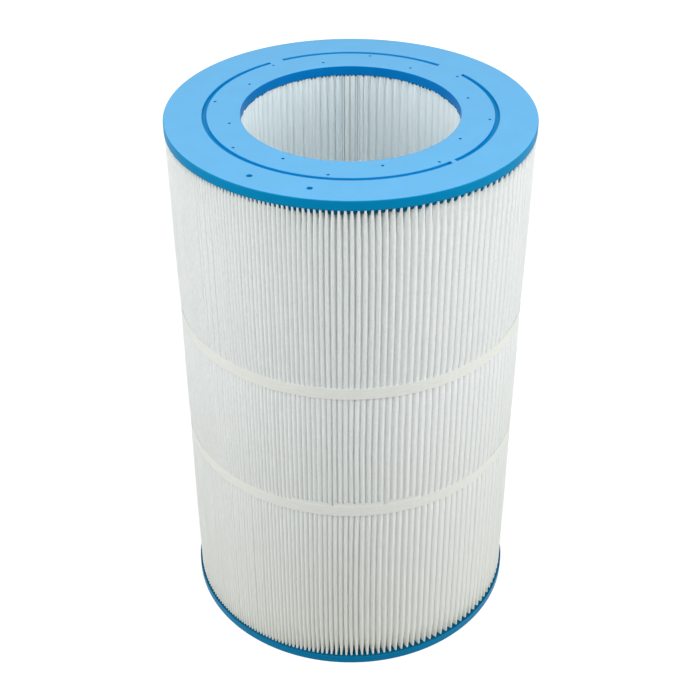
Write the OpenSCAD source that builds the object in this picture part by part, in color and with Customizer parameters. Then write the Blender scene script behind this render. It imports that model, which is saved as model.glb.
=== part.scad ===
// Pleated filter cartridge for a pool filter: a ring of folded fabric potted in two cast end caps.
// The base stands on z = 0 with the cartridge's axis on Z. The front of the cartridge faces -Y.

/* [Cartridge] */
// Height over both end caps
cartridge_h = 409.6; // [300:0.1:500]
// Outer diameter of the end caps
cap_d = 255.6; // [254.6:0.1:262]
// Diameter of the opening through each end cap
bore_d = 150.8; // [146:0.1:151.6]

/* [End caps] */
// Thickness of an end cap at its rim
cap_h = 7.2; // [6:0.1:9]
// Thickness of casting under the ends of the pleats
skin_t = 3; // [2.5:0.1:4]
// Radius on the outer edge of the rim
rim_round = 1; // [0.5:0.1:2]
// Radius on the edge of the opening
bore_round = 0.6; // [0.3:0.1:1]
// Diameter of the ring groove in the face
groove_d = 200; // [196:0.5:202]
// Width of the ring groove at the face
groove_w = 3.4; // [2:0.1:4]
// Depth of the ring groove
groove_depth = 1.8; // [1:0.1:2]
// Diameter of the holes left by the mould's standoff pins
pin_d = 2.2; // [0.8:0.1:2.6]
// Depth of the standoff pins' holes
pin_depth = 2.4; // [1:0.1:2.4]
// Number of standoff pins, on two rings in turn
pin_count = 16; // [8:2:24]
// Diameter of the inner ring of pins
inner_pins_d = 168; // [164:1:174]
// Diameter of the outer ring of pins
outer_pins_d = 190; // [186:1:192]
// Diameter of the two pour vents
vent_d = 4.2; // [3:0.1:5]
// Depth of the pour vents
vent_depth = 1.4; // [1:0.1:2.2]
// Diameter of the circle that the pour vents sit on
vents_d = 228.8; // [220:0.1:236]

/* [Pleats] */
// Number of pleats in the ring
pleat_count = 180; // [140:1:184]
// Thickness of the fabric
media_t = 0.5; // [0.3:0.05:0.55]
// Diameter over the outer folds
pleats_d = 252.4; // [251.4:0.1:252.8]
// Diameter inside the inner folds
pleats_inner_d = 153; // [152.6:0.1:158]
// Width of an outer fold
fold_w = 2; // [1.4:0.1:2.2]
// How unevenly the pleats spread, from one side to the other
spread_once = 0.28; // [0:0.01:0.28]
// How unevenly the pleats spread, from quarter to quarter
spread_twice = 0.13; // [0:0.01:0.18]
// Angle from the front to the place where the close pleats go over to wide ones
spread_turn = 8; // [0:1:20]
// Length of the glued lap where the strip's two ends meet
seam_lap = 12; // [6:0.5:20]
// Thickness of the glue between the strip's two end panels
seam_film = 0.3; // [0.2:0.05:0.4]
// Thickness of the bead over the strip's two raw ends
seam_bead = 0.5; // [0.3:0.1:0.8]

/* [Bands] */
// Width of a band
band_w = 9.2; // [8:0.1:16]
// Thickness of a band
band_t = 0.7; // [0.5:0.05:0.9]
// Height of the middle of the upper band
upper_band_z = 261.4; // [180:0.1:300]
// Height of the middle of the lower band
lower_band_z = 156.6; // [60:0.1:170]
// Length of a band's overlap at the back
band_lap = 32; // [15:1:50]
// Thickness of the glue between a band and the folds
glue_t = 0.3; // [0.2:0.05:0.4]
// How far the glue is squeezed out above a band
glue_out = 1.8; // [0.5:0.1:3]

/* [Hidden] */
$fn = 96;

cap_blue = "#2b9fd8";
fabric_white = "#e9ebe8";
band_white = "#f1f1ec";
glue_cream = "#dfe0d6";

front = -90;
back = 90;
degrees = 180 / PI;
clear = 1;

cap_r = cap_d / 2;
bore_r = bore_d / 2;
pleats_r = pleats_d / 2;
inner_r = pleats_inner_d / 2;
fold_r = fold_w / 2;
film_r = seam_film / 2;
media_h = cartridge_h - 2 * skin_t;

// Bridges across the ring groove: the angle of the middle and the width, in degrees
bridges = [[-49, 2], [43.5, 13], [123, 6]];
first_pin = 13.9;
vent_angles = [-123.7, -102.8];

band_inner_r = pleats_r + glue_t;
lap_turn = band_lap / band_inner_r * degrees;
lap_sink = 0.1;
lap_t = 0.5;
glue_margin = 2;

// The pleat whose far side holds the strip's two ends
seam_pleat = round(pleat_count * 0.389);

// Angle of pleat i. Halves of i are the valleys between the pleats.
function pleat_angle(i) =
    let (a = 360 * i / pleat_count)
    front + spread_turn + a + degrees * (spread_once * (1 - cos(a)) + spread_twice / 2 * (1 - cos(2 * a)));

function valley_angle(i) = pleat_angle(i + 0.5);

// The point at radius r in direction a, moved sideways by s
function spot(r, a, s) = [r * cos(a) - s * sin(a), r * sin(a) + s * cos(a)];

// Dirty side of the fabric over outer fold i
function fold_outside(i) = [
    spot(pleats_r - fold_r, pleat_angle(i), -fold_r),
    spot(pleats_r, pleat_angle(i), 0),
    spot(pleats_r - fold_r, pleat_angle(i), fold_r),
];

// Clean side of the fabric under outer fold i
function fold_inside(i) = [
    spot(pleats_r - fold_r - media_t, pleat_angle(i), media_t - fold_r),
    spot(pleats_r - fold_r - media_t, pleat_angle(i), fold_r - media_t),
];

// Dirty side of the fabric at the bottom of valley i
function valley_floor(i) = [spot(inner_r + 2 * media_t, valley_angle(i), 0)];

// Clean side of the fabric round inner fold i
function inner_fold(i) = [
    spot(inner_r, valley_angle(i), -media_t),
    spot(inner_r, valley_angle(i), media_t),
];

function backwards(points) = [for (i = [len(points) - 1 : -1 : 0]) points[i]];

// The strip runs from the pleat after its seam once round to the pleat before it
first = seam_pleat + 1;
last = seam_pleat + pleat_count;
seam = valley_angle(seam_pleat);

// The folded strip seen from above: along its dirty side from one raw end to the other,
// and back along its clean side
function strip_outline() =
    let (
        dirty = [
            spot(inner_r, seam, film_r),
            for (i = [first : last]) each concat(fold_outside(i), i < last ? valley_floor(i) : []),
            spot(inner_r, seam, -film_r),
        ],
        clean = [
            spot(inner_r, seam, film_r + media_t),
            for (i = [first : last]) each concat(fold_inside(i), i < last ? inner_fold(i) : []),
            spot(inner_r, seam, -film_r - media_t),
        ]
    )
    concat(dirty, backwards(clean));

// The seam from above: glue between the two end panels, under a bead over their raw ends
function seam_outline() =
    let (
        share = seam_lap / (pleats_r - fold_r - inner_r),
        start = spot(inner_r, seam, film_r),
        end = spot(inner_r, seam, -film_r),
        first_side = fold_outside(first)[0],
        last_side = fold_outside(last)[2]
    )
    [
        start + share * (first_side - start),
        start,
        spot(inner_r, seam, film_r + media_t),
        spot(inner_r - seam_bead, seam, film_r + media_t),
        spot(inner_r - seam_bead, seam, -film_r - media_t),
        spot(inner_r, seam, -film_r - media_t),
        end,
        end + share * (last_side - end),
    ];

// What has to come off a square corner at the origin to round it
module corner_waste(r) {
    difference() {
        translate([-clear, -clear]) square(r + clear);
        translate([r, r]) circle(r);
    }
}

// Half section of an end cap with its face down
module cap_section() {
    difference() {
        translate([bore_r, 0]) square([cap_r - bore_r, cap_h]);
        translate([bore_r, 0]) corner_waste(bore_round);
        translate([cap_r, 0]) mirror([1, 0]) corner_waste(rim_round);
    }
}

// The ring groove, broken by its bridges. turn is 1 or -1, the way round that the face is seen.
module groove(turn) {
    r = groove_d / 2;
    half = groove_w / 2;
    floor_half = half - groove_depth * 0.25;
    for (i = [0 : len(bridges) - 1]) {
        this = bridges[i];
        next = bridges[(i + 1) % len(bridges)];
        from = this[0] + this[1] / 2;
        span = (next[0] - next[1] / 2 - from + 360) % 360;
        rotate(turn > 0 ? from : -from - span)
            rotate_extrude(angle = span)
                polygon([
                    [r - half, 0],
                    [r - floor_half, groove_depth],
                    [r + floor_half, groove_depth],
                    [r + half, 0],
                    [r + half, -clear],
                    [r - half, -clear],
                ]);
    }
}

// Holes left by the standoff pins, which end just short of the pleats
module pin_holes(turn) {
    for (i = [0 : pin_count - 1])
        rotate(turn * (first_pin + 360 * i / pin_count))
            translate([(i % 2 == 0 ? inner_pins_d : outer_pins_d) / 2, 0, -clear])
                cylinder(d = pin_d, h = pin_depth + clear);
}

module vents(turn) {
    for (a = vent_angles)
        rotate(turn * a)
            translate([vents_d / 2, 0, -clear])
                cylinder(d = vent_d, h = vent_depth + clear);
}

// An end cap with its face down at z = 0, cast round the ends of the pleats
module end_cap(turn) {
    difference() {
        rotate_extrude() cap_section();
        translate([0, 0, skin_t]) linear_extrude(cap_h) polygon(strip_outline());
        translate([0, 0, skin_t]) linear_extrude(cap_h) polygon(seam_outline());
        groove(turn);
        pin_holes(turn);
        vents(turn);
    }
}

module top_end_cap() {
    color(cap_blue) translate([0, 0, cartridge_h]) mirror([0, 0, 1]) end_cap(1);
}

module bottom_end_cap() {
    color(cap_blue) end_cap(-1);
}

module pleated_media() {
    color(fabric_white) translate([0, 0, skin_t]) linear_extrude(media_h) polygon(strip_outline());
}

module media_seam() {
    color(glue_cream) translate([0, 0, skin_t]) linear_extrude(media_h) polygon(seam_outline());
}

// Half section of a strap: thickness t from radius r outwards, with round edges
module strap_section(r, t) {
    translate([r, -band_w / 2 + t / 2]) square([t, band_w - t]);
    for (side = [-1, 1]) translate([r + t / 2, side * (band_w - t) / 2]) circle(d = t);
}

// A strap once round the folds, with its end lapped over its start at the back
module strap() {
    rotate_extrude() strap_section(band_inner_r, band_t);
    rotate(back - lap_turn / 2)
        rotate_extrude(angle = lap_turn)
            strap_section(band_inner_r + band_t - lap_sink, lap_t + lap_sink);
}

// Glue between a strap and the folds, squeezed out along the strap's upper edge
module strap_glue() {
    rotate_extrude()
        translate([pleats_r, glue_margin - band_w / 2])
            square([glue_t, band_w - glue_margin + glue_out]);
}

module upper_band() {
    color(band_white) translate([0, 0, upper_band_z]) strap();
}

module lower_band() {
    color(band_white) translate([0, 0, lower_band_z]) strap();
}

module upper_band_glue() {
    color(glue_cream) translate([0, 0, upper_band_z]) strap_glue();
}

module lower_band_glue() {
    color(glue_cream) translate([0, 0, lower_band_z]) strap_glue();
}

top_end_cap();
bottom_end_cap();
pleated_media();
media_seam();
upper_band();
lower_band();
upper_band_glue();
lower_band_glue();
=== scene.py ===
"""Looks of a pleated pool filter cartridge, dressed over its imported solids."""

import math
import random

import bpy
import numpy as np
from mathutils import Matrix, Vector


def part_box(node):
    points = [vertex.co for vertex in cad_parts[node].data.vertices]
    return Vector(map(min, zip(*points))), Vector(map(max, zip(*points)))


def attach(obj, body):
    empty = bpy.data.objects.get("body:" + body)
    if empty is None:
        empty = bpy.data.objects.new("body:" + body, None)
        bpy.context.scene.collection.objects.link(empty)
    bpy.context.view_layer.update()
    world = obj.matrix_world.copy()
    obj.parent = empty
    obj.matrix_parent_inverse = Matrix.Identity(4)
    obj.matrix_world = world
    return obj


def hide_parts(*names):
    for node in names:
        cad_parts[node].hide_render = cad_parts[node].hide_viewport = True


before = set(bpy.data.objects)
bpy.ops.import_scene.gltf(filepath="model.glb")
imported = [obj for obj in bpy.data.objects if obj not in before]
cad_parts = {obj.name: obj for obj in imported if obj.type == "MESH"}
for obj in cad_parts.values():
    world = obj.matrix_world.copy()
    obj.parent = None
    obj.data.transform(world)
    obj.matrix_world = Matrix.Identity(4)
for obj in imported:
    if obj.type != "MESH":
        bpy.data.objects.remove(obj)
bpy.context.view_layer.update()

MM = 0.001
TAU = 2 * math.pi
FRONT, BACK = -math.pi / 2, math.pi / 2


def bare_radii(node):
    """Least and greatest distance of a solid's corners from the cartridge's axis, in metres."""
    points = np.array([v.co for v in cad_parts[node].data.vertices])
    away = np.hypot(points[:, 0], points[:, 1])
    return float(away.min()), float(away.max())


def fold_angles():
    """Angle of each outer fold, read from the corners of the pleated solid that lie furthest out."""
    points = np.array([v.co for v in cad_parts["pleated_media"].data.vertices])
    away = np.hypot(points[:, 0], points[:, 1])
    tips = points[away > away.max() - 0.01 * MM]
    return np.unique(np.round(np.arctan2(tips[:, 1], tips[:, 0]), 5))


# Sizes that the solids give, in metres
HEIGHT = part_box("top_end_cap")[1].z
CAP_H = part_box("bottom_end_cap")[1].z
BORE_R, CAP_R = bare_radii("top_end_cap")
INNER_R, FOLD_R = bare_radii("pleated_media")
PLEAT_LOW, PLEAT_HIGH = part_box("pleated_media")[0].z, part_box("pleated_media")[1].z
STRAP_R = bare_radii("upper_band")[0]
BANDS = {name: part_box(name + "_band") for name in ("upper", "lower")}
FOLDS = fold_angles()
PLEATS = len(FOLDS)
PITCHES = np.diff(np.append(FOLDS, FOLDS[0] + TAU))
SEAM_LOW, SEAM_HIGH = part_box("media_seam")
SEAM_AT = math.atan2((SEAM_LOW.y + SEAM_HIGH.y) / 2, (SEAM_LOW.x + SEAM_HIGH.x) / 2)

# Sizes of the finish, in metres
FABRIC_T = 0.5 * MM
RIM_ROUND = 1 * MM
BORE_ROUND = 0.6 * MM
LIP = 0.4 * MM

# How far each casting has crept up between the pleats, and how far behind their outer folds that starts
TOP_CREEP = (3.2 * MM, -0.3 * MM)
BOTTOM_CREEP = (0.8 * MM, 8 * MM)
CREEP_INSIDE = 2.4 * MM
CREEP_UNEVEN = (-0.8 * MM, 0.5 * MM)
TOOTH_TAPER = 2 * MM
# Greatest length of the small teeth that hang from the opening's inner edge
HUNG = 1.3 * MM

# Groove, pin holes and vents of a cap's face, as the solids have them
GROOVE_R = 100 * MM
GROOVE_W = 3.4 * MM
GROOVE_DEPTH = 1.8 * MM
PIN_D = 2.2 * MM
PIN_RINGS = (84 * MM, 95 * MM)
PIN_DEPTH = 2.4 * MM
PIN_COUNT = 16
FIRST_PIN = math.radians(13.9)
VENT_R = 114.4 * MM
VENT_D = 4.2 * MM
VENT_DEPTH = 1.4 * MM
VENTS = (math.radians(-123.7), math.radians(-102.8))
# Bridges across the groove: the angle of the middle and the width, in degrees
BRIDGES = ((-49, 2), (43.5, 13), (123, 6))
CUTTER_PROUD = 1 * MM

# A strap: its thickness, how far it presses the folds in, its lap at the back and how far it wavers
STRAP_T = 0.3 * MM
STRAP_SUNK = 0.6 * MM
STRAP_LAP = 32 * MM
STRAP_DRIFT = 0.15 * MM
# How far it sags between two folds, and how far from a fold that is reached
STRAP_SAG, SAG_REACH = 0.1 * MM, 2 * MM
# The share of the lap over which its end climbs onto its start, and how its free end curls up
STRAP_CLIMB = 0.6
CURL, CURL_LENGTH = 0.3 * MM, 5 * MM

# The glue under a strap: how far it reaches behind the folds, how far behind them it lies in the valleys,
# where it starts above the strap's lower edge, and where its neck and top lie below the upper edge
GLUE_DEEP, GLUE_WEB = 1.5 * MM, 0.3 * MM
GLUE_START = 2 * MM
GLUE_NECK, GLUE_TOP = 1.5 * MM, 1.3 * MM
# Where it was squeezed out heavily: from one angle to another, and how high
SQUEEZED = {"upper": None, "lower": (math.radians(-112), math.radians(-68), 5.1 * MM)}
SQUEEZE_MISSED = 0.1
SQUEEZE_UNEVEN = (0.85, 1.1)
SQUEEZE_HOLLOW = 0.85

# Camera, as the photograph was taken
CAMERA_AT = (-0.0005, -0.8426, 0.8025)
CAMERA_DOWN = math.radians(35.15)
CAMERA_LENS = 68.86
CAMERA_SENSOR = 36


# Materials

FACE_SHEEN_BLUE = "#6ab6e8"
RIM_BLUE = "#0086ba"
BORE_SHADE_BLUE = "#0072ba"
GROOVE_LIT_BLUE = "#0894d2"
LEDGE_SHADE_BLUE = "#005a7c"
CLOTH_WHITES = ("#eff5f3", "#f6fbfa")
CLOTH_INSIDE_LIGHT = "#f1fcff"
CLOTH_LOW_WARM_LIGHT = "#f1f4ec"
STRAP_WHITES = ("#ebeee7", "#f2f4ee")
GLUE_WHITES = ("#e4e8e3", "#ecefea")
FLOOR_GREY = "#808080"
WHITE = (1, 1, 1, 1)


def linear(hex_colour):
    """An sRGB hex colour as the linear colour that a shader takes."""
    parts = [int(hex_colour[i:i + 2], 16) / 255 for i in (1, 3, 5)]
    return [c / 12.92 if c <= 0.04045 else ((c + 0.055) / 1.055) ** 2.4 for c in parts] + [1]


def add_node(tree, kind, links=(), **settings):
    """Adds a node, sets its properties and sockets by name, and links (socket, node, output) to it."""
    node = tree.nodes.new(kind)
    for name, value in settings.items():
        if hasattr(node, name):
            setattr(node, name, value)
        else:
            node.inputs[name.replace("_", " ")].default_value = value
    for socket, other, output in links:
        tree.links.new(other.outputs[output], node.inputs[socket])
    return node


# Places of the two colours and the result among a Mix node's sockets
MIX_A, MIX_B, MIX_OUT = 6, 7, 2


def new_material(name):
    """An empty node material, and its tree."""
    material = bpy.data.materials.new(name)
    material.use_nodes = True
    tree = material.node_tree
    tree.nodes.clear()
    return material, tree


def per_metre(size_mm):
    """Noise scale that gives features of about this size on Object coordinates in metres."""
    return 1 / (size_mm * MM)


def cast_urethane():
    """Blue urethane poured in an open mould, its walls set against the polished mould. Its face is painted a
    paler blue as a painted sheen of light from above, its walls carry painted shade and light, and the
    casting between the pleats is painted darkest as painted shade. The base is painted a shade darker than
    the top, as painted shade. Faint cloudy flow marks, a satin skin, a slight ripple."""
    material, tree = new_material("cast_urethane")
    place = add_node(tree, "ShaderNodeTexCoord")
    centred = add_node(
        tree, "ShaderNodeMapping", [("Vector", place, "Object")], Location=(0, 0, -HEIGHT / 2),
    )
    level = add_node(tree, "ShaderNodeSeparateXYZ", [("Vector", centred, "Vector")])
    from_middle = add_node(tree, "ShaderNodeMath", [(0, level, "Z")], operation="ABSOLUTE")
    # The face's painted sheen, a paler blue standing for light from above, ends within a third of a
    # millimetre of its edges
    face_sheen_mask = add_node(
        tree, "ShaderNodeMapRange", [("Value", from_middle, "Value")],
        From_Min=HEIGHT / 2 - 0.35 * MM, From_Max=HEIGHT / 2 - 0.03 * MM,
    )
    in_plan = add_node(tree, "ShaderNodeMapping", [("Vector", place, "Object")], Scale=(1, 1, 0))
    from_axis = add_node(tree, "ShaderNodeVectorMath", [(0, in_plan, "Vector")], operation="LENGTH")
    across = add_node(
        tree, "ShaderNodeMapRange", [("Value", from_axis, "Value")], From_Min=BORE_R, From_Max=CAP_R,
    )
    # Painted shade and light on the walls of one urethane: the bore's wall a deeper blue as painted shade,
    # the groove a brighter blue as painted light against its shadow
    walls = add_node(tree, "ShaderNodeValToRGB", [("Fac", across, "Result")])
    walls.color_ramp.elements[0].position = 0.1
    walls.color_ramp.elements[0].color = linear(BORE_SHADE_BLUE)
    walls.color_ramp.elements[1].position = 0.9
    walls.color_ramp.elements[1].color = linear(RIM_BLUE)
    walls.color_ramp.elements.new((GROOVE_R - BORE_R) / (CAP_R - BORE_R)).color = linear(GROOVE_LIT_BLUE)
    # Painted shade: dark from just short of the cap's back, on the casting between the pleats, where shade
    # falls
    behind = add_node(
        tree, "ShaderNodeMapRange", [("Value", from_middle, "Value")],
        From_Min=HEIGHT / 2 - CAP_H + 0.4 * MM, From_Max=HEIGHT / 2 - CAP_H + 0.1 * MM,
    )
    sides = add_node(
        tree, "ShaderNodeMix", [("Factor", behind, "Result"), (MIX_A, walls, "Color")], data_type="RGBA",
    )
    sides.inputs[MIX_B].default_value = linear(LEDGE_SHADE_BLUE)
    tint = add_node(
        tree, "ShaderNodeMix", [("Factor", face_sheen_mask, "Result"), (MIX_A, sides, MIX_OUT)], data_type="RGBA",
    )
    tint.inputs[MIX_B].default_value = linear(FACE_SHEEN_BLUE)
    flow = add_node(tree, "ShaderNodeTexNoise", [("Vector", place, "Object")], Scale=per_metre(18), Detail=3)
    cloud = add_node(tree, "ShaderNodeMapRange", [("Value", flow, "Fac")], To_Min=0.94, To_Max=1.06)
    # Painted shade: the casting darker towards the base, down to 0.88 at the bottom, for the less light there
    depth = add_node(
        tree, "ShaderNodeMapRange", [("Value", level, "Z")],
        From_Min=-HEIGHT / 2, From_Max=HEIGHT / 2, To_Min=0.88,
    )
    shade = add_node(
        tree, "ShaderNodeMath", [(0, cloud, "Result"), (1, depth, "Result")], operation="MULTIPLY",
    )
    blue = add_node(
        tree, "ShaderNodeHueSaturation", [("Color", tint, MIX_OUT), ("Value", shade, "Value")],
    )
    skin = add_node(tree, "ShaderNodeTexNoise", [("Vector", place, "Object")], Scale=per_metre(0.7), Detail=2)
    gloss = add_node(tree, "ShaderNodeMapRange", [("Value", flow, "Fac")], To_Min=0.34, To_Max=0.46)
    bump = add_node(tree, "ShaderNodeBump", [("Height", skin, "Fac")], Strength=0.12, Distance=0.15 * MM)
    shader = add_node(
        tree, "ShaderNodeBsdfPrincipled",
        [("Base Color", blue, "Color"), ("Roughness", gloss, "Result"), ("Normal", bump, "Normal")],
        IOR=1.45, Specular_IOR_Level=0.06,
    )
    add_node(tree, "ShaderNodeOutputMaterial", [("Surface", shader, "BSDF")])
    return material


def filter_fabric():
    """Spun-bonded polyester filter cloth: matt white, mottled by its loose fibres and lightly see-through,
    with painted cool light up the inside of the cartridge and painted warm light towards its base."""
    material, tree = new_material("spun_bonded_polyester")
    place = add_node(tree, "ShaderNodeTexCoord")
    mottle = add_node(
        tree, "ShaderNodeTexNoise", [("Vector", place, "Object")],
        Scale=per_metre(2.5), Detail=4,
    )
    tint = add_node(tree, "ShaderNodeValToRGB", [("Fac", mottle, "Fac")])
    for stop, position, white in zip(tint.color_ramp.elements, (0.3, 0.7), CLOTH_WHITES):
        stop.position = position
        stop.color = linear(white)
    in_plan = add_node(tree, "ShaderNodeMapping", [("Vector", place, "Object")], Scale=(1, 1, 0))
    from_axis = add_node(tree, "ShaderNodeVectorMath", [(0, in_plan, "Vector")], operation="LENGTH")
    # Painted cool, brighter light up the inside: cooler from 20 mm behind the inner folds, and fully so 6 mm
    # behind them
    inside = add_node(
        tree, "ShaderNodeMapRange", [("Value", from_axis, "Value")],
        From_Min=INNER_R + 20 * MM, From_Max=INNER_R + 6 * MM,
    )
    inside_light_mix = add_node(
        tree, "ShaderNodeMix", [("Factor", inside, "Result"), (MIX_A, tint, "Color")],
        data_type="RGBA",
    )
    inside_light_mix.inputs[MIX_B].default_value = linear(CLOTH_INSIDE_LIGHT)
    level = add_node(tree, "ShaderNodeSeparateXYZ", [("Vector", place, "Object")])
    # Painted warm light from below: warmer from six tenths of the height down to the base
    low = add_node(
        tree, "ShaderNodeMapRange", [("Value", level, "Z")],
        From_Min=HEIGHT * 0.6, From_Max=0,
    )
    low_warm_light_mix = add_node(
        tree, "ShaderNodeMix", [("Factor", low, "Result"), (MIX_A, inside_light_mix, MIX_OUT)],
        data_type="RGBA",
    )
    low_warm_light_mix.inputs[MIX_B].default_value = linear(CLOTH_LOW_WARM_LIGHT)
    # The fibres are about 0.02 mm thick, and are drawn this coarse to show
    fibres = add_node(
        tree, "ShaderNodeTexNoise", [("Vector", place, "Object")],
        Scale=per_metre(0.4), Detail=3,
    )
    bump = add_node(tree, "ShaderNodeBump", [("Height", fibres, "Fac")], Strength=0.15, Distance=0.1 * MM)
    shader = add_node(
        tree, "ShaderNodeBsdfPrincipled",
        [("Base Color", low_warm_light_mix, MIX_OUT), ("Normal", bump, "Normal")],
        Roughness=0.9, Specular_IOR_Level=0.2,
        Subsurface_Weight=0.2, Subsurface_Scale=1, Subsurface_Radius=(2 * MM, 2.2 * MM, 2.2 * MM),
    )
    add_node(tree, "ShaderNodeOutputMaterial", [("Surface", shader, "BSDF")])
    return material


def strap_cloth():
    """Bonded polyester strap: denser and whiter than the filter cloth, with fine threads round its length."""
    material, tree = new_material("bonded_polyester_strap")
    place = add_node(tree, "ShaderNodeTexCoord")
    # Threads three quarters of a millimetre apart, coarser than real ones so that they show
    turned = add_node(tree, "ShaderNodeMapping", [("Vector", place, "Object")], Scale=(1, 1, 12))
    threads = add_node(
        tree, "ShaderNodeTexNoise", [("Vector", turned, "Vector")],
        Scale=per_metre(9), Detail=4,
    )
    tint = add_node(tree, "ShaderNodeValToRGB", [("Fac", threads, "Fac")])
    for stop, position, white in zip(tint.color_ramp.elements, (0.35, 0.65), STRAP_WHITES):
        stop.position = position
        stop.color = linear(white)
    bump = add_node(tree, "ShaderNodeBump", [("Height", threads, "Fac")], Strength=0.2, Distance=0.1 * MM)
    shader = add_node(
        tree, "ShaderNodeBsdfPrincipled",
        [("Base Color", tint, "Color"), ("Normal", bump, "Normal")],
        Roughness=0.75,
    )
    add_node(tree, "ShaderNodeOutputMaterial", [("Surface", shader, "BSDF")])
    return material


def hot_melt_glue():
    """Set hot-melt glue: off-white, slightly waxy, with small lumps where it was squeezed."""
    material, tree = new_material("hot_melt_glue")
    place = add_node(tree, "ShaderNodeTexCoord")
    lumps = add_node(
        tree, "ShaderNodeTexNoise", [("Vector", place, "Object")],
        Scale=per_metre(1.5), Detail=2,
    )
    tint = add_node(tree, "ShaderNodeValToRGB", [("Fac", lumps, "Fac")])
    for stop, white in zip(tint.color_ramp.elements, GLUE_WHITES):
        stop.color = linear(white)
    bump = add_node(tree, "ShaderNodeBump", [("Height", lumps, "Fac")], Strength=0.3, Distance=0.2 * MM)
    shader = add_node(
        tree, "ShaderNodeBsdfPrincipled",
        [("Base Color", tint, "Color"), ("Normal", bump, "Normal")],
        Roughness=0.5,
    )
    add_node(tree, "ShaderNodeOutputMaterial", [("Surface", shader, "BSDF")])
    return material


# Making

def select_only(piece):
    """Selects one piece and makes it the active one."""
    bpy.ops.object.select_all(action="DESELECT")
    piece.select_set(True)
    bpy.context.view_layer.objects.active = piece


def apply_modifier(piece, kind, **settings):
    """Adds a modifier with its settings and applies it."""
    select_only(piece)
    modifier = piece.modifiers.new(kind.lower(), kind)
    for name, value in settings.items():
        setattr(modifier, name, value)
    bpy.ops.object.modifier_apply(modifier=modifier.name)


def turned_ring(name, section, steps):
    """A closed ring turned from its half section: a circle at the first point, pulled from point to point."""
    bpy.ops.object.select_all(action="DESELECT")
    r, z = section[0]
    bpy.ops.mesh.primitive_circle_add(vertices=steps, radius=r, location=(0, 0, z))
    piece = bpy.context.object
    piece.name = name
    bpy.ops.object.transform_apply(location=True)
    bpy.ops.object.mode_set(mode="EDIT")
    bpy.ops.mesh.select_all(action="SELECT")
    for next_r, next_z in section[1:] + section[:1]:
        bpy.ops.mesh.extrude_edges_move(TRANSFORM_OT_translate={"value": (0, 0, next_z - z)})
        bpy.ops.transform.resize(value=(next_r / r, next_r / r, 1), center_override=(0, 0, 0))
        r, z = next_r, next_z
    bpy.ops.mesh.select_all(action="SELECT")
    bpy.ops.mesh.remove_doubles(threshold=1e-6)
    bpy.ops.mesh.normals_make_consistent(inside=False)
    bpy.ops.object.mode_set(mode="OBJECT")
    return piece


# Where a ring's four columns to a pleat stand, as shares of the way from its fold to the next
FOLD_SHARES = (0.12, 0.37, 0.63, 0.88)


def align_to_folds(piece):
    """Turns a ring's columns to the folds, four to a pleat. Returns each vertex's pleat and place there."""
    columns = len(FOLD_SHARES) * PLEATS
    spots = []
    for v in piece.data.vertices:
        away = math.hypot(v.co.x, v.co.y)
        column = round((math.atan2(v.co.y, v.co.x) + math.pi) / TAU * columns) % columns
        pleat, share = divmod(column, len(FOLD_SHARES))
        angle = FOLDS[pleat] + FOLD_SHARES[share] * PITCHES[pleat]
        v.co.x, v.co.y = away * math.cos(angle), away * math.sin(angle)
        spots.append((pleat, share))
    return spots


def arc_points(centre, radius, start, end, count):
    """Points of a quarter round in a half section."""
    angles = [math.radians(start + (end - start) * i / (count - 1)) for i in range(count)]
    return [(centre[0] + radius * math.cos(a), centre[1] + radius * math.sin(a)) for a in angles]


def cap_section(creep, behind):
    """Half section of an end cap as (radius, depth below its face). The casting has crept up between the
    pleats, starting some way behind their outer folds."""
    creep_out = FOLD_R - behind
    creep_in = INNER_R + CREEP_INSIDE
    lean = 0.3 * MM
    support = 0.8 * MM
    return [
        (BORE_R + BORE_ROUND + support, 0),
        (CAP_R - RIM_ROUND - support, 0),
        *arc_points((CAP_R - RIM_ROUND, RIM_ROUND), RIM_ROUND, -90, 0, 7),
        (CAP_R, CAP_H - LIP),
        (CAP_R - LIP, CAP_H),
        (creep_out + LIP, CAP_H),
        (creep_out, CAP_H + LIP),
        (creep_out - lean, CAP_H + creep),
        (creep_in + lean, CAP_H + creep),
        (creep_in, CAP_H + LIP),
        (creep_in - LIP, CAP_H),
        (BORE_R + LIP, CAP_H),
        (BORE_R, CAP_H - LIP),
        *arc_points((BORE_R + BORE_ROUND, BORE_ROUND), BORE_ROUND, 180, 270, 5),
    ]


def arc_cutter(name, face_z, inward, start, span):
    """A stretch of the ring groove as a solid to cut with: its section at the start, spun along."""
    bpy.ops.object.select_all(action="DESELECT")
    bpy.ops.mesh.primitive_plane_add(size=1, rotation=(math.pi / 2, 0, 0))
    piece = bpy.context.object
    piece.name = name
    piece.scale = (GROOVE_W, GROOVE_DEPTH + CUTTER_PROUD, 1)
    piece.location = (GROOVE_R, 0, face_z + inward * (GROOVE_DEPTH - CUTTER_PROUD) / 2)
    bpy.ops.object.transform_apply(location=True, rotation=True, scale=True)
    bpy.ops.object.mode_set(mode="EDIT")
    bpy.ops.mesh.select_all(action="SELECT")
    bpy.ops.transform.rotate(value=-start, orient_axis="Z", center_override=(0, 0, 0))
    bpy.ops.mesh.spin(
        steps=max(8, round(span / TAU * 360)), angle=span, center=(0, 0, 0), axis=(0, 0, -1),
    )
    bpy.ops.mesh.select_all(action="SELECT")
    bpy.ops.mesh.normals_make_consistent(inside=False)
    bpy.ops.object.mode_set(mode="OBJECT")
    return piece


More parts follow.
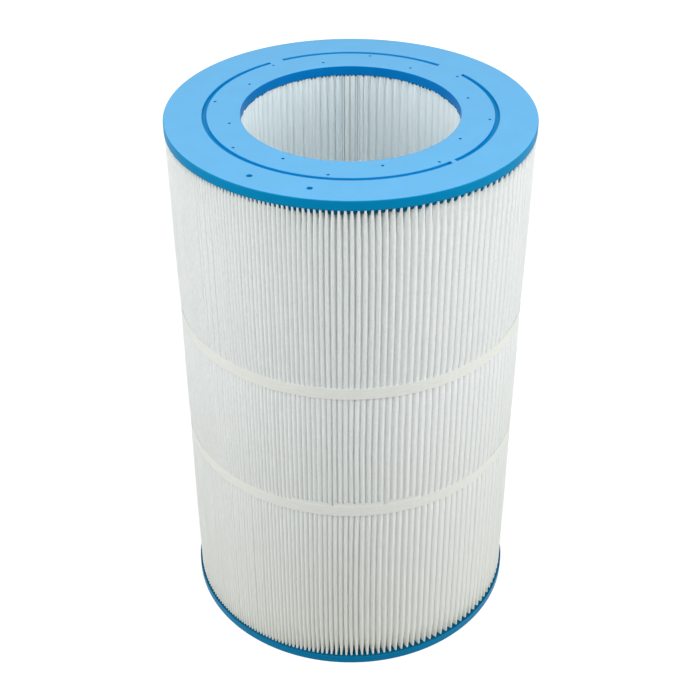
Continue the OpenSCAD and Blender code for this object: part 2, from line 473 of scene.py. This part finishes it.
def hole_cutter(name, r, angle, diameter, depth, face_z, inward):
    """A blind hole as a solid to cut with."""
    bpy.ops.object.select_all(action="DESELECT")
    middle_z = face_z + inward * (depth - CUTTER_PROUD) / 2
    bpy.ops.mesh.primitive_cylinder_add(
        vertices=24, radius=diameter / 2, depth=depth + CUTTER_PROUD,
        location=(r * math.cos(angle), r * math.sin(angle), middle_z),
    )
    piece = bpy.context.object
    piece.name = name
    bpy.ops.object.transform_apply(location=True)
    return piece


def cut_away(piece, cutters):
    """Cuts a piece once with all its cutters, which don't touch each other."""
    bpy.ops.object.select_all(action="DESELECT")
    for cutter in cutters:
        cutter.select_set(True)
    bpy.context.view_layer.objects.active = cutters[0]
    bpy.ops.object.join()
    apply_modifier(piece, "BOOLEAN", object=cutters[0], operation="DIFFERENCE", solver="EXACT")
    bpy.data.objects.remove(cutters[0])


def groove_stretches(turn):
    """Start and span of each stretch of the groove between its bridges."""
    stretches = []
    for this, following in zip(BRIDGES, BRIDGES[1:] + BRIDGES[:1]):
        start = math.radians(this[0] + this[1] / 2)
        span = math.radians((following[0] - following[1] / 2) - (this[0] + this[1] / 2)) % TAU
        stretches.append((start if turn > 0 else -start - span, span))
    return stretches


def end_cap(name, face_z, inward, turn, creep, behind, seed):
    """A cast end ring: turned, its creep between the outer and inner folds made uneven, then grooved, pinned
    and vented. turn is 1 or -1, the way round that its face is seen."""
    draw = random.Random(seed)
    section = [(r, face_z + inward * depth) for r, depth in cap_section(creep, behind)]
    piece = turned_ring(name, section, len(FOLD_SHARES) * PLEATS)
    crept = [draw.uniform(*CREEP_UNEVEN) for _ in range(PLEATS)]
    hung = [draw.uniform(0, HUNG) for _ in range(PLEATS)]
    for v, (pleat, share) in zip(piece.data.vertices, align_to_folds(piece)):
        depth = abs(v.co.z - face_z)
        beside = share in (0, len(FOLD_SHARES) - 1)
        if depth > CAP_H + creep / 2:
            v.co.z += inward * (crept[pleat] - (min(TOOTH_TAPER, creep / 2) if beside else 0))
        elif depth > CAP_H / 2 and math.hypot(v.co.x, v.co.y) < BORE_R + 2 * LIP and beside:
            v.co.z += inward * hung[(pleat + share // 2) % PLEATS]
    cutters = [
        arc_cutter("groove_cut", face_z, inward, start, span) for start, span in groove_stretches(turn)
    ]
    for i in range(PIN_COUNT):
        angle = turn * (FIRST_PIN + TAU * i / PIN_COUNT)
        cutters.append(hole_cutter("pin_cut", PIN_RINGS[i % 2], angle, PIN_D, PIN_DEPTH, face_z, inward))
    for angle in VENTS:
        cutters.append(hole_cutter("vent_cut", VENT_R, turn * angle, VENT_D, VENT_DEPTH, face_z, inward))
    cut_away(piece, cutters)
    select_only(piece)
    bpy.ops.object.shade_smooth_by_angle(angle=math.radians(35))
    return piece


def mesh_piece(name, points, faces):
    """A piece from its points and faces, smooth all over."""
    mesh = bpy.data.meshes.new(name)
    mesh.from_pydata(points, [], faces)
    mesh.update()
    piece = bpy.data.objects.new(name, mesh)
    bpy.context.scene.collection.objects.link(piece)
    select_only(piece)
    bpy.ops.object.shade_smooth()
    return piece


def grid_faces(columns, rows):
    """Quads of a grid whose points run row by row."""
    corners = [
        row * columns + column for row in range(rows - 1) for column in range(columns - 1)
    ]
    return [(c, c + 1, c + columns + 1, c + columns) for c in corners]


# The pleated sheet

# Depth of the knee in a valley, half the gap there and half the width of an outer fold, first where the
# pleats leave a cap and then away from the caps, at the front
END_KNEE, MIDDLE_KNEE = 9.5 * MM, 1.7 * MM
END_GAP, MIDDLE_GAP = 0.45 * MM, 0.28 * MM
END_FOLD, MIDDLE_FOLD = 0.5 * MM, 0.7 * MM
FOLD_BENDS = [math.radians(bend) for bend in (-70, -35, 0, 35, 70)]
EVEN_PITCH = TAU / PLEATS

# Away from the front the folds lie flat: their width, bulge and knee there, as shares of those at the front,
# and how closely the open folds keep to the front
FLAT_FOLD, FLAT_BULGE, FLAT_KNEE = 1.7, 0.25, 0.45
KEPT_TO_FRONT = 36

# How far the outer folds stray sideways, many together and one by one, and how far back some of them lie
LONG_SWAY, SHORT_SWAY = 0.8 * MM, 0.4 * MM
SUNK = 0.5 * MM
FOLD_UNEVEN, KNEE_UNEVEN = 0.15, 0.25
# Least and greatest width of a pleat's fold beside that of an even pleat
ROOMY = (0.75, 1.4)

# Inner folds: room between two of them, the share of the width that a hidden one keeps, how far back it lies,
# how far the others come forward, and how much one side of a fold is fuller than the other
INNER_CLEAR = 0.03 * MM
INNER_LEAST = 0.3
INNER_UNEVEN = 2.8 * MM
INNER_FORWARD = 0.7 * MM
INNER_FULL, INNER_TILT = 0.9, 0.25

# The seam: where its flaps begin and end beside it, how far they push the next folds away, and its bead
SEAM_HALF, SEAM_FLAP = 0.45 * MM, 3.7 * MM
SEAM_PUSH = (2.6 * MM, 1.4 * MM, 0.6 * MM)
BEAD_W, BEAD_DEEP = 0.9 * MM, 4 * MM

# How soon the pleats close up away from a cap, how far caps and bands hold them still, and how free they are
# under a band
CLOSED_UP = 7 * MM
CAP_HOLD, BAND_HOLD = 40 * MM, 60 * MM
FREE_UNDER_BAND = 0.25

# Distances of the sheet's rows from a cap and from a band
BESIDE = 8 * MM
NEAR_CAP = (0, 2 * MM, 5 * MM, 10 * MM, 19 * MM)
NEAR_BAND = (0, BESIDE)

# How far the outer folds swell out, by height: little at the base, and pressed in under the bands
UNDER, LOWER_TOP = BANDS["lower"][0].z, BANDS["lower"][1].z
UPPER_FOOT, OVER = BANDS["upper"][0].z, BANDS["upper"][1].z
BETWEEN = (UNDER + OVER) / 2
ABOVE_BANDS, NEAR_TOP = OVER + 45 * MM, OVER + 85 * MM
PRESSED = -0.35 * MM
SWELL = (
    (CAP_H, 0.1 * MM), (UNDER / 2, 0.5 * MM),
    (UNDER - BESIDE, 0.2 * MM), (UNDER, PRESSED), (LOWER_TOP, PRESSED), (LOWER_TOP + BESIDE, 0.2 * MM),
    (BETWEEN, 0.5 * MM),
    (UPPER_FOOT - BESIDE, 0.2 * MM), (UPPER_FOOT, PRESSED), (OVER, PRESSED), (OVER + BESIDE, 0.3 * MM),
    (ABOVE_BANDS, 0.95 * MM), (HEIGHT - CAP_H, 1.2 * MM),
)

# Heights of the sheet's rows where nothing holds it
FREE_ROWS = [UNDER / 4, UNDER / 2, UNDER * 3 / 4, BETWEEN, ABOVE_BANDS, NEAR_TOP]


def smooth_noise(draw, columns, rows, column_step, row_step):
    """Smooth random values from -1 to 1 on a grid that closes round its columns."""
    coarse_columns = max(3, round(columns / column_step))
    coarse_rows = max(2, round(rows / row_step) + 1)
    coarse = draw.uniform(-1, 1, (coarse_rows, coarse_columns))
    at_column = np.arange(columns) / columns * coarse_columns
    at_row = np.linspace(0, coarse_rows - 1, rows)

    def ease(x):
        return x * x * (3 - 2 * x)

    c0 = np.floor(at_column).astype(int)
    c1 = (c0 + 1) % coarse_columns
    fc = ease(at_column - c0)
    r0 = np.minimum(np.floor(at_row).astype(int), coarse_rows - 2)
    fr = ease(at_row - r0)[:, None]
    near = coarse[r0][:, c0 % coarse_columns] * (1 - fc) + coarse[r0][:, c1] * fc
    far = coarse[r0 + 1][:, c0 % coarse_columns] * (1 - fc) + coarse[r0 + 1][:, c1] * fc
    return near * (1 - fr) + far * fr


def row_heights():
    """Heights of the sheet's rows: its ends, close rows by each cap and band, and a few between them."""
    rows = [PLEAT_LOW, PLEAT_HIGH]
    for d in NEAR_CAP:
        rows += [CAP_H + d, HEIGHT - CAP_H - d]
    for low, high in BANDS.values():
        for d in NEAR_BAND:
            rows += [low.z - d, high.z + d]
    return np.array(sorted(rows + FREE_ROWS))


def how_held(heights):
    """How free the folds are to sway at each height: not at the caps, little at the bands."""
    free = np.ones(len(heights))
    for low, high in BANDS.values():
        from_band = np.abs(heights - (low.z + high.z) / 2)
        free = np.minimum(free, FREE_UNDER_BAND + from_band / BAND_HOLD)
    for end in (CAP_H, HEIGHT - CAP_H):
        free = np.minimum(free, np.abs(heights - end) / CAP_HOLD)
    free[[0, -1]] = 0
    return np.clip(free, 0, 1)[:, None]


def how_open(heights):
    """How far the pleats stand open at each height: fully where they are potted, less away from the caps."""
    from_cap = np.maximum(np.minimum(heights - CAP_H, HEIGHT - CAP_H - heights), 0)
    return np.exp(-((from_cap / CLOSED_UP) ** 1.4))[:, None]


def from_seam():
    """Angles of the folds in the strip's order, from its one raw end round to the other."""
    after = np.sort((FOLDS - SEAM_AT) % TAU)
    return SEAM_AT + after


def spot(r, angle, aside):
    """Plan position at radius r in a direction, moved sideways."""
    return np.stack([
        r * np.cos(angle) - aside * np.sin(angle),
        r * np.sin(angle) + aside * np.cos(angle),
    ], axis=-1)


def bunched(draw):
    """Which inner folds stand forward, in the strip's order: most of them hide the next one."""
    forward = np.zeros(PLEATS)
    at = 0
    while at < PLEATS:
        forward[at] = 1
        at += draw.choice((1, 2, 2, 2, 2))
    return forward


def pleated_sheet():
    """The filter cloth: one strip folded to and fro. Its folds stand open where they are potted and close up
    away from the caps, to broad flat folds everywhere but at the front. The inner folds lie uneven, and both
    sway a little where nothing holds them."""
    draw = np.random.default_rng(7)
    heights = row_heights()
    rows = len(heights)
    fold = from_seam()
    following = np.append(fold[1:], fold[0] + TAU)
    valley = (fold + following) / 2
    roomy = np.clip((following - np.append(fold[-1] - TAU, fold[:-1])) / 2 / EVEN_PITCH, *ROOMY)
    free, stand = how_held(heights), how_open(heights)

    def uneven(column_step, row_step):
        return smooth_noise(draw, PLEATS, rows, column_step, row_step)

    def between(middle, end):
        return middle + (end - middle) * stand

    def to_front(flat):
        return flat + (1 - flat) * gape

    sway = (uneven(9, 6) * LONG_SWAY + uneven(1.5, 5) * SHORT_SWAY * roomy) * free
    sunk = (uneven(1, 8) * 0.5 + 0.5) * SUNK * (1 - stand) * free
    swell = np.interp(heights, *zip(*SWELL))[:, None]
    gape = ((1 + np.cos(fold - FRONT)) / 2) ** KEPT_TO_FRONT
    half = between(MIDDLE_FOLD * to_front(FLAT_FOLD) * roomy * (1 + FOLD_UNEVEN * uneven(1, 6)), END_FOLD)
    bulge = half * between(to_front(FLAT_BULGE), 1)
    knee = between(MIDDLE_KNEE * to_front(FLAT_KNEE) * (1 + KNEE_UNEVEN * uneven(1, 6)), END_KNEE)
    knee_r = FOLD_R - knee + swell * (1 - gape)
    gap = between(MIDDLE_GAP, END_GAP)
    at_knee = (sway + np.roll(sway, -1, axis=1)) / 2
    inner_pitch = (following - fold) * INNER_R
    # Forward or hidden, and a little more or less so from row to row
    proud = np.clip(bunched(draw) * 1.1 - 0.05 + 0.25 * uneven(1, 16), 0, 1)
    proud[:, [0, -2]] = 0
    share = INNER_LEAST + proud
    edge_after = inner_pitch * share / (share + np.roll(share, -1, axis=1))
    for step, push in enumerate(SEAM_PUSH):
        edge_after[:, step - 1] = inner_pitch[step - 1] / 2 + push
        edge_after[:, -step - 2] = inner_pitch[-step - 2] / 2 - push
    edge_before = np.roll(edge_after - inner_pitch, 1, axis=1)
    inner_sway = (edge_before + edge_after) / 2
    inner_half = (edge_after - edge_before - FABRIC_T) / 2 - INNER_CLEAR
    inner_sunk = (1 - proud) * INNER_UNEVEN * (1 - stand)
    inner_tilt = INNER_TILT * uneven(1, 16)
    tip_r = FOLD_R - FABRIC_T / 2 - sunk + swell
    inner_r = INNER_R + FABRIC_T / 2 - INNER_FORWARD + inner_sunk

    columns = [
        spot(tip_r - bulge * (1 - math.cos(b)), fold, sway + half * math.sin(b)) for b in FOLD_BENDS
    ]
    columns.append(spot(knee_r, valley, at_knee - gap))
    for side, depth in ((-1, INNER_FULL + inner_tilt), (0, 0), (1, INNER_FULL - inner_tilt)):
        columns.append(spot(inner_r + depth * inner_half, valley, inner_sway + side * inner_half))
    columns.append(spot(knee_r, valley, at_knee + gap))

    plan = np.array(columns).transpose(1, 2, 0, 3).reshape(rows, PLEATS * len(columns), 2)
    flap_r = np.full((rows, 1), INNER_R + FABRIC_T / 2 - INNER_FORWARD)
    first_flap = [spot(flap_r, SEAM_AT, SEAM_HALF), spot(flap_r, SEAM_AT, SEAM_FLAP)]
    last_flap = [spot(flap_r, SEAM_AT, -SEAM_FLAP), spot(flap_r, SEAM_AT, -SEAM_HALF)]
    plan = np.concatenate([*first_flap, plan[:, -1:], plan[:, :-4], *last_flap], axis=1)
    across = plan.shape[1]
    up = np.broadcast_to(heights[:, None, None], (rows, across, 1))
    points = np.concatenate([plan, up], axis=2).reshape(-1, 3)
    piece = mesh_piece("pleated_cloth", points.tolist(), grid_faces(across, rows))
    strip_length = float(np.linalg.norm(np.diff(plan[rows // 2], axis=0), axis=1).sum())
    apply_modifier(piece, "SOLIDIFY", thickness=FABRIC_T, offset=0)
    return piece, strip_length


def strap(name, middle_z, width, seed):
    """A strap wound once round the folds, which it presses in, with its end lapped over its start."""
    draw = random.Random(seed)
    lap = STRAP_LAP / STRAP_R
    steps = 4 * PLEATS
    edge = STRAP_T / 2
    half = width / 2
    # Its edges lean back under it, so that they stay in the shade
    outline = [
        (0, -half + edge * 2), (0, half - edge * 2),
        (STRAP_T * 0.7, half), (STRAP_T, half - edge * 0.6),
        (STRAP_T, -half + edge * 0.6), (STRAP_T * 0.7, -half),
    ]
    drift = [draw.uniform(-STRAP_DRIFT, STRAP_DRIFT) for _ in range(12)]
    points = []
    for i in range(steps + 1):
        along = i / steps
        angle = BACK - lap / 2 + (TAU + lap) * along
        nearest = np.abs((FOLDS - angle + math.pi) % TAU - math.pi).min() * STRAP_R
        sag = STRAP_SAG * min(1, nearest / SAG_REACH)
        over = np.clip(((TAU + lap) * along - TAU) / (lap * STRAP_CLIMB) + 0.5, 0, 1)
        curl = max(0, 1 - (1 - along) * (TAU + lap) * STRAP_R / CURL_LENGTH)
        lift = STRAP_T * over * over * (3 - 2 * over) + CURL * curl
        wave = np.interp(along, np.linspace(0, 1, len(drift)), drift)
        for out, up in outline:
            r = STRAP_R - STRAP_SUNK + out + lift - sag
            points.append((r * math.cos(angle), r * math.sin(angle), middle_z + up + wave))
    n = len(outline)
    faces = [
        (i * n + k, (i + 1) * n + k, (i + 1) * n + (k + 1) % n, i * n + (k + 1) % n)
        for i in range(steps) for k in range(n)
    ]
    faces += [tuple(range(n)), tuple(steps * n + k for k in reversed(range(n)))]
    piece = mesh_piece(name, points, faces)
    select_only(piece)
    bpy.ops.object.mode_set(mode="EDIT")
    bpy.ops.mesh.select_all(action="SELECT")
    bpy.ops.mesh.normals_make_consistent(inside=False)
    bpy.ops.object.mode_set(mode="OBJECT")
    bpy.ops.object.shade_smooth_by_angle(angle=math.radians(30))
    return piece


def strap_glue(name, low_z, high_z, squeezed, seed):
    """The glue under a strap, and what was squeezed out of it into the valleys along the strap's upper edge.
    squeezed gives the stretch of heavy squeeze-out as (start angle, end angle, height), or None."""
    draw = random.Random(seed)
    behind, web, proud = FOLD_R - GLUE_DEEP, FOLD_R - GLUE_WEB, STRAP_R - STRAP_SUNK
    neck, top = high_z - GLUE_NECK, high_z - GLUE_TOP
    section = [(behind, low_z), (proud, low_z), (proud, neck), (web, neck), (web, top), (behind, top)]
    piece = turned_ring(name, section, len(FOLD_SHARES) * PLEATS)
    heights = []
    for i in range(PLEATS):
        height = 0
        if squeezed and squeezed[0] < FOLDS[i] < squeezed[1] and draw.random() > SQUEEZE_MISSED:
            height = squeezed[2] * draw.uniform(*SQUEEZE_UNEVEN)
        heights.append(height)
    for v, (pleat, share) in zip(piece.data.vertices, align_to_folds(piece)):
        if v.co.z > (neck + top) / 2 and math.hypot(v.co.x, v.co.y) > (behind + web) / 2:
            beside = share in (0, len(FOLD_SHARES) - 1)
            v.co.z += heights[pleat] * (1 if beside else SQUEEZE_HOLLOW)
    select_only(piece)
    bpy.ops.object.shade_smooth_by_angle(angle=math.radians(50))
    return piece


def seam_bead():
    """The thin bead that joins the strip's two raw ends, up the inside of the pleats."""
    bpy.ops.object.select_all(action="DESELECT")
    tall = SEAM_HIGH.z - SEAM_LOW.z
    bpy.ops.mesh.primitive_cube_add(
        size=1, location=(INNER_R + BEAD_DEEP / 2, 0, (SEAM_LOW.z + SEAM_HIGH.z) / 2),
    )
    piece = bpy.context.object
    piece.name = "seam_bead"
    piece.scale = (BEAD_DEEP, BEAD_W, tall)
    bpy.ops.object.transform_apply(location=True, rotation=True, scale=True)
    piece.rotation_euler = (0, 0, SEAM_AT)
    bpy.ops.object.transform_apply(location=True, rotation=True, scale=True)
    apply_modifier(piece, "BEVEL", width=0.3 * MM, segments=3)
    select_only(piece)
    bpy.ops.object.shade_smooth_by_angle(angle=math.radians(50))
    return piece


# The pieces, each in its node's place

def dress(piece, material, slot, *nodes):
    """Gives a piece its material and puts it in the place of its solids."""
    piece.data.materials.clear()
    piece.data.materials.append(material)
    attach(piece, "root")
    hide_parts(*nodes)


urethane = cast_urethane()
cloth = filter_fabric()
strap_finish = strap_cloth()
glue = hot_melt_glue()

top_ring = end_cap("top_cast_ring", HEIGHT, -1, 1, *TOP_CREEP, 3)
dress(top_ring, urethane, "cast_urethane", "top_end_cap")
bottom_ring = end_cap("bottom_cast_ring", 0, 1, -1, *BOTTOM_CREEP, 4)
dress(bottom_ring, urethane, "cast_urethane", "bottom_end_cap")

pleats, strip_length = pleated_sheet()
dress(pleats, cloth, "filter_fabric", "pleated_media")
dress(seam_bead(), glue, "hot_melt_glue", "media_seam")

for number, (place, (low, high)) in enumerate(BANDS.items()):
    band = strap(place + "_strap", (low.z + high.z) / 2, high.z - low.z, 20 + number)
    dress(band, strap_finish, "band_strap", place + "_band")
    bead = strap_glue(place + "_glue", low.z + GLUE_START, high.z, SQUEEZED[place], 30 + number)
    dress(bead, glue, "hot_melt_glue", place + "_band_glue")


# Stage, light and camera

ROOM_LIGHT = 0.32
# The floor's glow near the cartridge, where its shadow shows, and how far out the floor is wholly white
FLOOR_GLOW = 0.87
FLOOR_NEAR, FLOOR_FAR = 0.6, 1.8


def seen_directly(tree):
    """1 where something is looked at, also in a reflection or through glass, and 0 where it gives light."""
    ray = add_node(tree, "ShaderNodeLightPath")
    seen = add_node(
        tree, "ShaderNodeMath",
        [(0, ray, "Is Camera Ray"), (1, ray, "Is Glossy Ray")], operation="MAXIMUM",
    )
    return add_node(
        tree, "ShaderNodeMath",
        [(0, seen, "Value"), (1, ray, "Is Transmission Ray")], operation="MAXIMUM",
    )


def pale_floor():
    """A pale floor that stays white to the camera and keeps a soft shadow."""
    bpy.ops.object.select_all(action="DESELECT")
    bpy.ops.mesh.primitive_plane_add(size=12)
    floor = bpy.context.object
    floor.name = "floor"
    material, tree = new_material("pale_floor")
    seen = seen_directly(tree)
    matt = add_node(tree, "ShaderNodeBsdfDiffuse", Color=linear(FLOOR_GREY))
    place = add_node(tree, "ShaderNodeTexCoord")
    away = add_node(tree, "ShaderNodeVectorMath", [(0, place, "Object")], operation="LENGTH")
    white = add_node(
        tree, "ShaderNodeMapRange", [("Value", away, "Value")],
        From_Min=FLOOR_NEAR, From_Max=FLOOR_FAR, To_Min=FLOOR_GLOW, To_Max=1,
    )
    glow = add_node(tree, "ShaderNodeEmission", [("Strength", white, "Result")], Color=WHITE)
    both = add_node(tree, "ShaderNodeAddShader", [(0, matt, "BSDF"), (1, glow, "Emission")])
    mixed = add_node(
        tree, "ShaderNodeMixShader", [(0, seen, "Value"), (1, matt, "BSDF"), (2, both, "Shader")],
    )
    add_node(tree, "ShaderNodeOutputMaterial", [("Surface", mixed, "Shader")])
    floor.data.materials.append(material)


def white_world():
    """An even white room: white to the eye, and a soft light from all sides."""
    world = bpy.data.worlds.new("white_room")
    world.use_nodes = True
    tree = world.node_tree
    tree.nodes.clear()
    seen = seen_directly(tree)
    lighting = add_node(tree, "ShaderNodeBackground", Color=WHITE, Strength=ROOM_LIGHT)
    backdrop = add_node(tree, "ShaderNodeBackground", Color=WHITE, Strength=1)
    mixed = add_node(
        tree, "ShaderNodeMixShader",
        [(0, seen, "Value"), (1, lighting, "Background"), (2, backdrop, "Background")],
    )
    add_node(tree, "ShaderNodeOutputWorld", [("Surface", mixed, "Shader")])
    bpy.context.scene.world = world


def soft_box(name, at, aim, size, power):
    """A square studio light at one place, facing another."""
    lamp = bpy.data.lights.new(name, "AREA")
    lamp.size = size
    lamp.energy = power
    box = bpy.data.objects.new(name, lamp)
    bpy.context.scene.collection.objects.link(box)
    box.location = at
    direction = np.array(aim) - np.array(at)
    flat = math.hypot(direction[0], direction[1])
    heading = math.atan2(direction[1], direction[0])
    box.rotation_euler = (math.atan2(flat, -direction[2]), 0, heading - math.pi / 2)


def photograph_camera():
    """The camera where the photograph was taken from."""
    camera = bpy.data.cameras.new("camera")
    camera.sensor_width = CAMERA_SENSOR
    camera.lens = CAMERA_LENS
    view = bpy.data.objects.new("camera", camera)
    bpy.context.scene.collection.objects.link(view)
    view.location = CAMERA_AT
    view.rotation_euler = (math.pi / 2 - CAMERA_DOWN, 0, 0)
    bpy.context.scene.camera = view


pale_floor()
white_world()
soft_box("front_key", at=(0, -1.35, 1.85), aim=(0, 0, 0.35), size=1.2, power=16)
soft_box("left_side", at=(-1.38, -0.34, 1.35), aim=(0, 0, 0.25), size=1.8, power=12)
soft_box("right_side", at=(1.38, -0.34, 1.35), aim=(0, 0, 0.25), size=1.8, power=13.5)
soft_box("left_fill", at=(-1.7, -0.4, 0.7), aim=(0, 0, 0.2), size=1.2, power=9.5)
soft_box("right_fill", at=(1.7, -0.4, 0.7), aim=(0, 0, 0.2), size=1.2, power=10.8)
soft_box("back_fill", at=(0, 1.6, 0.2), aim=(0, 0, 0.2), size=0.36, power=6)
photograph_camera()
bpy.context.scene.view_settings.view_transform = "Standard"
